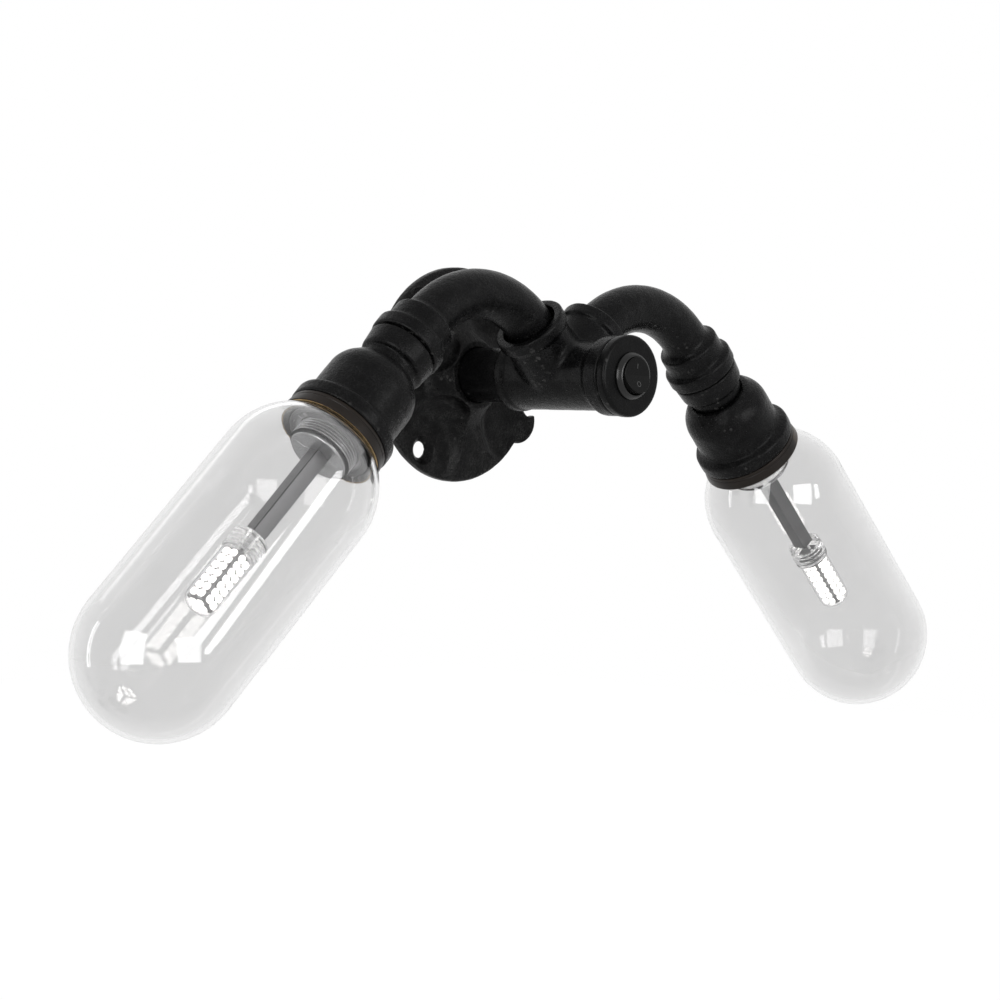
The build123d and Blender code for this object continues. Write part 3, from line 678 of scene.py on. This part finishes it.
class PIPELIGHT_OT_lampholders(bpy.types.Operator):
    """Threaded lampholders with their plates and square stems"""
    bl_idname = "pipe_light.lampholders"
    bl_label = "Lampholders"

    thread_depth = 0.80 * MM
    flange_radius = 16.5 * MM
    dish_radius, dish = 5.6 * MM, 0.35 * MM                     # hollow in the barrel's end
    plate_radius, plate_hole, plate_height = 16.8 * MM, 12.6 * MM, 1.2 * MM
    below_plate, stem_length = 7.3 * MM, 41.2 * MM
    stem_corner, stem_seam = 0.45 * MM, 0.30 * MM               # bevels along the stem
    stem_turn = 6.0                                             # degrees about the lamp's axis

    def holder(self, name, sizes, top, plate_low, end):
        """Barrel with a flange above and fine threads below its plate."""
        crest = sizes.holder_radius
        root = crest - self.thread_depth
        corners = [
            (0, top), (crest, top, 0.5 * MM), (crest, top + 3.3 * MM), (self.flange_radius, top + 3.3 * MM),
            (self.flange_radius, top + 5.3 * MM), (crest, top + 5.3 * MM), (crest, plate_low)]
        turns = int((end - 0.9 * MM - plate_low) / sizes.pitch)
        for turn in range(turns):
            start = plate_low + turn * sizes.pitch
            corners += [(crest, start + 0.10 * sizes.pitch), (root, start + 0.48 * sizes.pitch),
                        (root, start + 0.58 * sizes.pitch), (crest, start + 0.94 * sizes.pitch)]
        corners += [
            (crest - 0.2 * MM, end - 2 * MM), (sizes.end_radius, end - 1.9 * MM),
            (sizes.end_radius, end, 0.5 * MM),
            (self.dish_radius, end, 0.2 * MM), (self.dish_radius - 0.2 * MM, end - self.dish, 0.1 * MM),
            (0, end - self.dish)]
        return turned(name, corners, steps=160)

    def plate(self, name, start, low):
        """Flat ring round the barrel, with a shallow step inside its rim."""
        step, step_inner = 14.9 * MM, 14.7 * MM
        return turned(name, [
            (self.plate_hole, start), (self.plate_radius, start, 0.25 * MM),
            (self.plate_radius, low, 0.35 * MM), (step, low - 0.02 * MM, 0.1 * MM),
            (step_inner, low - 0.2 * MM, 0.1 * MM), (self.plate_hole, low - 0.2 * MM)], steps=160, closed=True)

    def stem(self, name, sizes, start, end):
        """Square drawn stem with a folded seam along one corner."""
        side, half = sizes.stem_side, sizes.stem_side / 2
        piece = block(name, (side, side, end - start), (0, 0, (start + end) / 2))
        bpy.ops.object.mode_set(mode="EDIT")

        def is_corner(edge, seam):
            middle = (edge.verts[0].co + edge.verts[1].co) / 2
            at_seam = middle.x > half - 0.01 * MM and middle.y > half - 0.01 * MM
            return is_upright(edge, 0.1 * MM) and at_seam == seam

        select_by(piece, "edges", lambda edge: is_corner(edge, False))
        bpy.ops.mesh.bevel(offset=self.stem_corner, segments=3, affect="EDGES")
        select_by(piece, "edges", lambda edge: is_corner(edge, True))
        bpy.ops.mesh.bevel(offset=self.stem_seam, segments=4, profile=0.08, affect="EDGES")
        bpy.ops.object.mode_set(mode="OBJECT")
        inner = half - self.stem_seam - 0.02 * MM
        for face in piece.data.polygons:
            in_seam = face.center.x > inner and face.center.y > inner
            face.material_index = 1 if in_seam and abs(face.normal.z) < 0.5 else 0
        settle(piece, Matrix.Rotation(radians(self.stem_turn), 4, "Z"))
        return piece

    def execute(self, context):
        sizes = context.scene.pipe_light_lamp
        glass = context.scene.pipe_light_glass
        turned_grain = {"grain_size": 1300, "depth": 0.00008}
        steel = metal_finish("holder_steel", sizes.steel, roughness=0.15, **turned_grain)
        washer = metal_finish("holder_plate_steel", scaled(sizes.steel, 0.42), roughness=0.24, **turned_grain)
        dark = metal_finish("stem_steel", sizes.stem, roughness=0.42, grain_size=900, depth=0.00005)
        seam = metal_finish("stem_seam_shadow", scaled(sizes.stem, 0.12), roughness=0.5, grain_size=900,
                            depth=0.00003)
        plate_start = glass.ring_start + glass.ring + 0.4 * MM
        plate_low = plate_start + self.plate_height
        end = plate_low + self.below_plate
        top = glass.ring_start - 12.2 * MM
        for side in SIDES:
            home = lamp_matrix(side)
            barrel = self.holder(f"{side}_holder_barrel", sizes, top, plate_low, end)
            complete(barrel, steel, 30, home, "fixture", "grey_steel", f"{side}_lampholder")
            plate = self.plate(f"{side}_holder_washer", plate_start, plate_low)
            complete(plate, washer, 30, home, "fixture", "grey_steel", f"{side}_holder_plate")
            stem = self.stem(f"{side}_square_stem", sizes, end - self.dish, end + self.stem_length)
            stem.data.materials.append(dark)
            stem.data.materials.append(seam)
            complete(stem, None, 30, home, "fixture", "dark_steel", f"{side}_lamp_stem")
        return {"FINISHED"}


class PIPELIGHT_OT_bulbs(bpy.types.Operator):
    """Plug-in bulbs: ribbed clear base, lit core with rows of chips, clear cover"""
    bl_idname = "pipe_light.bulbs"
    bl_label = "Bulbs"

    turns = {"left": -12.5, "right": -4.0}                      # degrees about the lamp's axis
    base_start, base_length = 152.7 * MM, 8.4 * MM
    core_side, core_length = 7.4 * MM, 23.4 * MM
    ribs, rib_depth = 5, 0.65 * MM
    rows, pitch, spread = 7, 3.2 * MM, 3.2 * MM                 # chips along a board, and between its columns
    chip_height = 0.5 * MM
    chip_rim = 0.38 * MM
    cover_wall, cover_rounding, cover_gap = 0.4 * MM, 3.8 * MM, 1.6 * MM

    def chip(self, name, side_length):
        """One light chip: a grey frame with a domed lit face."""
        piece = block(name, (side_length, side_length, self.chip_height), (0, 0, self.chip_height / 2))
        bpy.ops.object.mode_set(mode="EDIT")
        select_by(piece, "edges", lambda edge: is_upright(edge, 0.4 * MM))
        bpy.ops.mesh.bevel(offset=0.8 * MM, segments=3, affect="EDGES")
        select_by(piece, "faces", lambda face: face.normal.z > 0.9)
        for inward, up in ((0.30, 0), (0.10, -0.05), (0.28, 0.16), (0.26, 0.08)):
            bpy.ops.mesh.inset(thickness=inward * MM, depth=up * MM)
        bpy.ops.object.mode_set(mode="OBJECT")
        for face in piece.data.polygons:
            outer = max(abs(face.center.x), abs(face.center.y)) > side_length / 2 - self.chip_rim
            face.material_index = 1 if outer or face.normal.z < 0.1 else 0
        return piece

    def core(self, name, start):
        """Square core for the chips."""
        size = (self.core_side, self.core_side, self.core_length)
        piece = block(name, size, (0, 0, start + self.core_length / 2))
        modify(piece, "BEVEL", width=0.3 * MM, segments=2)
        return piece

    def chips(self, name, side_length, start):
        """All the chips of one bulb as one mesh: two columns on each board and four on the end."""
        rows, pitch, spread = self.rows, self.pitch, self.spread
        first = start + (self.core_length - (rows - 1) * pitch) / 2
        model = self.chip(name, side_length)
        copies = []
        places = [
            Matrix.Rotation(face * pi / 2, 4, "Z")
            @ Matrix.Translation((self.core_side / 2, column * spread, first + row * pitch))
            @ Matrix.Rotation(pi / 2, 4, "Y")
            for face in range(4) for column in (-0.5, 0.5) for row in range(rows)]
        places += [
            Matrix.Translation((across * spread, column * spread, start + self.core_length))
            for across in (-0.5, 0.5) for column in (-0.5, 0.5)]
        for place in places:
            copy = model.copy()
            copy.data = model.data.copy()
            bpy.context.scene.collection.objects.link(copy)
            copy.matrix_world = place
            copies.append(copy)
        to_objects()
        for copy in copies:
            copy.select_set(True)
        bpy.context.view_layer.objects.active = copies[0]
        bpy.ops.object.transform_apply(location=True, rotation=True, scale=True)
        bpy.ops.object.join()
        joined = bpy.context.object
        bpy.data.objects.remove(model)
        joined.name = joined.data.name = name
        return joined

    def base(self, name, radius):
        """Clear base with rounded ribs."""
        pitch = self.base_length / self.ribs
        root = radius - self.rib_depth
        corners = [(0, self.base_start)]
        for rib in range(self.ribs):
            low = self.base_start + rib * pitch
            corners += [(root, low + 0.04 * pitch, 0.08 * MM), (radius, low + 0.30 * pitch, 0.25 * MM),
                        (radius, low + 0.70 * pitch, 0.25 * MM)]
        end = self.base_start + self.base_length
        corners += [(root, end), (0, end)]
        return turned(name, corners, steps=96, rounding_steps=3)

    def cover(self, name, outer, start):
        """Thin clear cap over the core, with a rounded end."""
        wall, soft = self.cover_wall, self.cover_rounding
        low = start + self.core_length + self.cover_gap
        centre = (outer - soft, low + wall - soft)
        corners = (
            [(outer - wall, start), (outer, start), (outer, low + wall - soft)]
            + rounding(centre, soft, range(1, 9)) + [(0, low + wall), (0, low)]
            + rounding(centre, 3.4 * MM, range(8, -1, -1)))
        return turned(name, corners, steps=96, closed=True)

    def execute(self, context):
        sizes = context.scene.pipe_light_lamp
        # painted rim tint of the bulb's clear plastics, towards their edges
        painted_rim_tint = (0.90, 0.90, 0.90)
        ribbed = glass_finish("bulb_base_plastic", (0.80, 0.80, 0.80), painted_rim_tint, ripple=0.00001)
        clear = glass_finish("bulb_cover_plastic", (0.975, 0.975, 0.975), painted_rim_tint, ripple=0.000004)
        board = plastic_finish("led_board_grey", (0.17, 0.17, 0.17), roughness=0.45, gloss=0.0)
        rim = plastic_finish("led_chip_rim", (0.36, 0.36, 0.36), roughness=0.45, gloss=0.0)
        lit = light_finish(sizes.light, sizes.glow, sizes.flare)
        core_start = self.base_start + self.base_length
        for side in SIDES:
            body = f"{side}_bulb"
            home = lamp_matrix(side)
            turned_home = home @ Matrix.Rotation(radians(self.turns[side]), 4, "Z")
            base = self.base(f"{side}_bulb_base", sizes.collar_radius)
            complete(base, ribbed, 40, turned_home, body, "clear_plastic", f"{side}_bulb_collar")
            core = self.core(f"{side}_light_core", core_start)
            complete(core, board, 32, turned_home, body, "led_core", f"{side}_led_board")
            chips = self.chips(f"{side}_light_chips", sizes.chip, core_start)
            chips.data.materials.append(lit)
            chips.data.materials.append(rim)
            settle(chips, turned_home)
            seat(chips, body, "led_light", f"{side}_led_chips")
            cover = self.cover(f"{side}_bulb_tube", sizes.cover_radius, core_start)
            complete(cover, clear, 40, home, body, "clear_plastic", f"{side}_bulb_cover")
        return {"FINISHED"}


class PIPELIGHT_OT_switch(bpy.types.Operator):
    """Round rocker switch with moulded on and off marks"""
    bl_idname = "pipe_light.switch"
    bl_label = "Switch"

    body_radius, body_depth, well_depth = 7.9 * MM, 16 * MM, 6.5 * MM
    pivot, throw = 96.4 * MM, 8                                 # rocker: from the wall, and degrees each way
    rise, reach = 2 * MM, 3.4 * MM                              # from the pivot to the face and to a mark
    rocker_grid = 0.12 * MM
    mark_low, mark_high = -0.1 * MM, 0.10 * MM

    def execute(self, context):
        sizes = context.scene.pipe_light_switch
        shell = plastic_finish("switch_bezel_black", sizes.plastic, roughness=0.16, gloss=0.30)
        satin = plastic_finish("switch_rocker_black", sizes.plastic, roughness=0.22, texture=0.00001,
                               gloss=0.07)
        moulded = plastic_finish("switch_mark_grey", sizes.mark, roughness=0.4)
        face, back, well = sizes.face, sizes.face - self.body_depth, sizes.face - self.well_depth
        housing = turned("switch_bezel", [
            (0, back), (self.body_radius, back, 0.6 * MM), (self.body_radius, sizes.seat),
            (sizes.bezel_radius, sizes.seat, 0.1 * MM), (sizes.bezel_radius, sizes.seat + 0.6 * MM, 0.25 * MM),
            (sizes.well_radius + 0.7 * MM, face, 0.45 * MM), (sizes.well_radius, face, 0.25 * MM),
            (sizes.well_radius, well), (0, well)], steps=160)
        complete(housing, shell, 30, front_matrix(), "fixture", "black_plastic", "switch_housing")
        rocker = node_copy("switch_rocker_moulded", "switch_rocker")
        modify(rocker, "REMESH", mode="VOXEL", voxel_size=self.rocker_grid, adaptivity=0.0)
        modify(rocker, "SMOOTH", factor=0.5, iterations=3)
        pick(rocker)
        bpy.ops.object.shade_smooth()
        dress(rocker, satin)
        seat(rocker, "rocker", "black_plastic", "switch_rocker")
        for mark, half in ((self.round_mark(), -1), (self.bar_mark(), 1)):
            complete(mark, moulded, 32, self.half_face(half), "rocker", "black_plastic")
        return {"FINISHED"}

    def half_face(self, half):
        """The middle of the rocker's upper (1) or lower (-1) half; z stands out of its face."""
        throw = radians(self.throw)
        pivot = Matrix.Translation((0, 0, self.pivot)) @ Matrix.Rotation(-throw, 4, "X")
        valley = pivot @ Matrix.Translation((0, 0, self.rise)) @ Matrix.Rotation(half * throw, 4, "X")
        return front_matrix() @ valley @ Matrix.Translation((0, half * self.reach, 0))

    def round_mark(self):
        """Moulded O."""
        inner, outer, soft = 0.78 * MM, 1.08 * MM, 0.05 * MM
        return turned("switch_off_mark", [
            (inner, self.mark_low), (outer, self.mark_low), (outer, self.mark_high, soft),
            (inner, self.mark_high, soft)], steps=64, closed=True)

    def bar_mark(self):
        """Moulded bar with round ends."""
        piece = block("switch_on_mark", (0.36 * MM, 1.9 * MM, 0.2 * MM), (0, 0, 0))
        bpy.ops.object.mode_set(mode="EDIT")
        select_by(piece, "edges", lambda edge: is_upright(edge, 0.1 * MM))
        bpy.ops.mesh.bevel(offset=0.15 * MM, segments=4, affect="EDGES")
        select_by(piece, "faces", lambda face: face.normal.z > 0.9)
        bpy.ops.mesh.inset(thickness=0.05 * MM, depth=0.03 * MM)
        bpy.ops.object.mode_set(mode="OBJECT")
        return piece


class PIPELIGHT_OT_inner_parts(bpy.types.Operator):
    """Finishes of the parts held inside: leads, splice caps, blades and pins"""
    bl_idname = "pipe_light.inner_parts"
    bl_label = "Inner parts"

    def execute(self, context):
        brown = plastic_finish("lead_brown", (0.16, 0.055, 0.025), roughness=0.5)
        blue = plastic_finish("lead_blue", (0.02, 0.07, 0.30), roughness=0.5)
        crimp = plastic_finish("splice_cap_white", (0.7, 0.7, 0.68), roughness=0.4)
        brass = brass_finish("contact_brass", (0.60, 0.44, 0.22))
        nickel = metal_finish("pin_nickel", (0.30, 0.30, 0.30), roughness=0.3, grain_size=900, depth=0.00002)
        finishes = {"feed_live_lead": brown, "switched_live_lead": brown, "feed_neutral_lead": blue,
                    "live_splice_cap": crimp, "neutral_splice_cap": crimp, "switch_terminals": brass}
        for side in SIDES:
            finishes.update({
                f"{side}_live_lead": brown, f"{side}_neutral_lead": blue, f"{side}_bulb_pins": nickel})
        for node, material in finishes.items():
            dress(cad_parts[node], material)
        return {"FINISHED"}


class PIPELIGHT_OT_stage(bpy.types.Operator):
    """White paper floor and backdrop, soft studio lights and the camera"""
    bl_idname = "pipe_light.stage"
    bl_label = "Stage"

    aim = (0, -0.06, -0.03)
    soft_boxes = {              # place, width and height in metres, power in watts
        "left_softbox": ((-1.53, -0.47, 0.18), (0.80, 1.05), 15),
        "front_softbox": ((-0.14, -1.63, 0.17), (0.90, 0.85), 14),
        "right_box": ((0.545, -1.54, 0.26), (0.20, 0.52), 2.6)}
    edge_strips = {
        "left_edge_strip": ((-1.10, 1.05, 0.00), (0.08, 1.2), 2),
        "top_edge_strip": ((0.25, 1.15, 0.75), (1.4, 0.12), 0.5)}
    sky_level = 0.30            # strength of the white sky as a light
    paper_glow = 1.06           # strength of the paper where it has to look white
    paper_share = 0.93          # share of that glow; the rest takes light and shadow
    eye = (-0.80659, -0.81848, -0.03278)
    eye_right = (0.69936159, -0.71385448, 0.03612682)
    eye_up = (-0.01520244, 0.03567624, 0.99924776)

    def paper_finish(self, shade):
        """White paper that stays white to the camera, in gloss and through glass, with a faint shadow."""
        finish = Finish("stage_paper")
        grain = finish.noise(finish.place(), 900, 2)
        texture = finish.bump(grain, 0.0001)
        paper = finish.node("ShaderNodeBsdfDiffuse", inputs={"Color": (*shade, 1), "Normal": texture})
        bright = finish.node("ShaderNodeEmission", inputs={"Color": (1, 1, 1, 1), "Strength": self.paper_glow})
        return finish.done(finish.mixed(finish.sees_white() * self.paper_share, paper, bright))

    def area_light(self, name, place, size, power):
        """A soft box at a place, turned towards the piece."""
        to_objects()
        bpy.ops.object.light_add(type="AREA", location=place)
        lamp = bpy.context.object
        lamp.name = name
        lamp.data.shape = "RECTANGLE"
        lamp.data.size, lamp.data.size_y = size
        lamp.data.energy = power
        lamp.rotation_mode = "QUATERNION"
        lamp.rotation_quaternion = (Vector(self.aim) - Vector(place)).to_track_quat("-Z", "Y")
        return lamp

    def sky(self):
        """White to the camera and in gloss and glass, softer as a light."""
        world = bpy.data.worlds.new("studio_white")
        bpy.context.scene.world = world
        finish = Finish("studio_white", world)
        strength = finish.ramp(finish.sees_white(), 0.0, 1.0, self.sky_level, 1.0)
        shader = finish.node("ShaderNodeBackground", inputs={"Color": (1, 1, 1, 1), "Strength": strength})
        finish.node("ShaderNodeOutputWorld", inputs={"Surface": shader})

    def camera(self, focal):
        """The photograph's viewing angle: seen from the front left and slightly below."""
        to_objects()
        bpy.ops.object.camera_add()
        camera = bpy.context.object
        camera.name = "photo_camera"
        camera.data.sensor_width = 36
        camera.data.lens = focal
        camera.data.clip_start = 0.05
        camera.data.clip_end = 20
        right, up = Vector(self.eye_right), Vector(self.eye_up)
        turn = Matrix((right, up, right.cross(up))).transposed().to_4x4()
        camera.matrix_world = Matrix.Translation(self.eye) @ turn
        bpy.context.scene.camera = camera

    def execute(self, context):
        sizes = context.scene.pipe_light_stage
        to_objects()
        low = (0, 0, -sizes.floor_drop)
        bpy.ops.mesh.primitive_grid_add(x_subdivisions=12, y_subdivisions=12, size=6, location=low)
        floor = bpy.context.object
        floor.name = "paper_floor"
        dress(floor, self.paper_finish(sizes.paper))
        self.sky()
        for name, (place, size, power) in self.soft_boxes.items():
            self.area_light(name, place, size, power)
        for name, (place, size, power) in self.edge_strips.items():
            strip = self.area_light(name, place, size, power)
            strip.visible_diffuse = False           # bright edges in gloss alone
        self.camera(sizes.focal)
        context.scene.view_settings.view_transform = "Standard"
        return {"FINISHED"}


OPERATORS = (
    PIPELIGHT_OT_stage, PIPELIGHT_OT_cast_fittings, PIPELIGHT_OT_shade_rings, PIPELIGHT_OT_glass_shades,
    PIPELIGHT_OT_lampholders, PIPELIGHT_OT_bulbs, PIPELIGHT_OT_switch, PIPELIGHT_OT_inner_parts)

GROUPS = {
    "pipe_light_fittings": PipeLightFittings, "pipe_light_glass": PipeLightGlass,
    "pipe_light_lamp": PipeLightLamp, "pipe_light_switch": PipeLightSwitch, "pipe_light_stage": PipeLightStage}


class PIPELIGHT_PT_panel(bpy.types.Panel):
    """Lists the steps of the pipe wall light"""
    bl_idname = "PIPELIGHT_PT_panel"
    bl_label = "Pipe wall light"
    bl_space_type = "VIEW_3D"
    bl_region_type = "UI"
    bl_category = "Pipe Light"

    def draw(self, context):
        for operator in OPERATORS:
            self.layout.operator(operator.bl_idname)
        for name, group in GROUPS.items():
            box = self.layout.box()
            box.label(text=group.__doc__)
            for field in group.__annotations__:
                box.prop(getattr(context.scene, name), field)


def register():
    """Adds the classes and the settings of the scene."""
    for name, group in GROUPS.items():
        bpy.utils.register_class(group)
        setattr(bpy.types.Scene, name, bpy.props.PointerProperty(type=group))
    for operator in OPERATORS:
        bpy.utils.register_class(operator)
    bpy.utils.register_class(PIPELIGHT_PT_panel)


def unregister():
    """Takes away what register added."""
    bpy.utils.unregister_class(PIPELIGHT_PT_panel)
    for operator in reversed(OPERATORS):
        bpy.utils.unregister_class(operator)
    for name, group in GROUPS.items():
        delattr(bpy.types.Scene, name)
        bpy.utils.unregister_class(group)


def main():
    """Builds every piece in order."""
    register()
    for operator in OPERATORS:
        step = operator.bl_idname.split(".")[1]
        getattr(bpy.ops.pipe_light, step)()


if __name__ == "__main__":
    main()
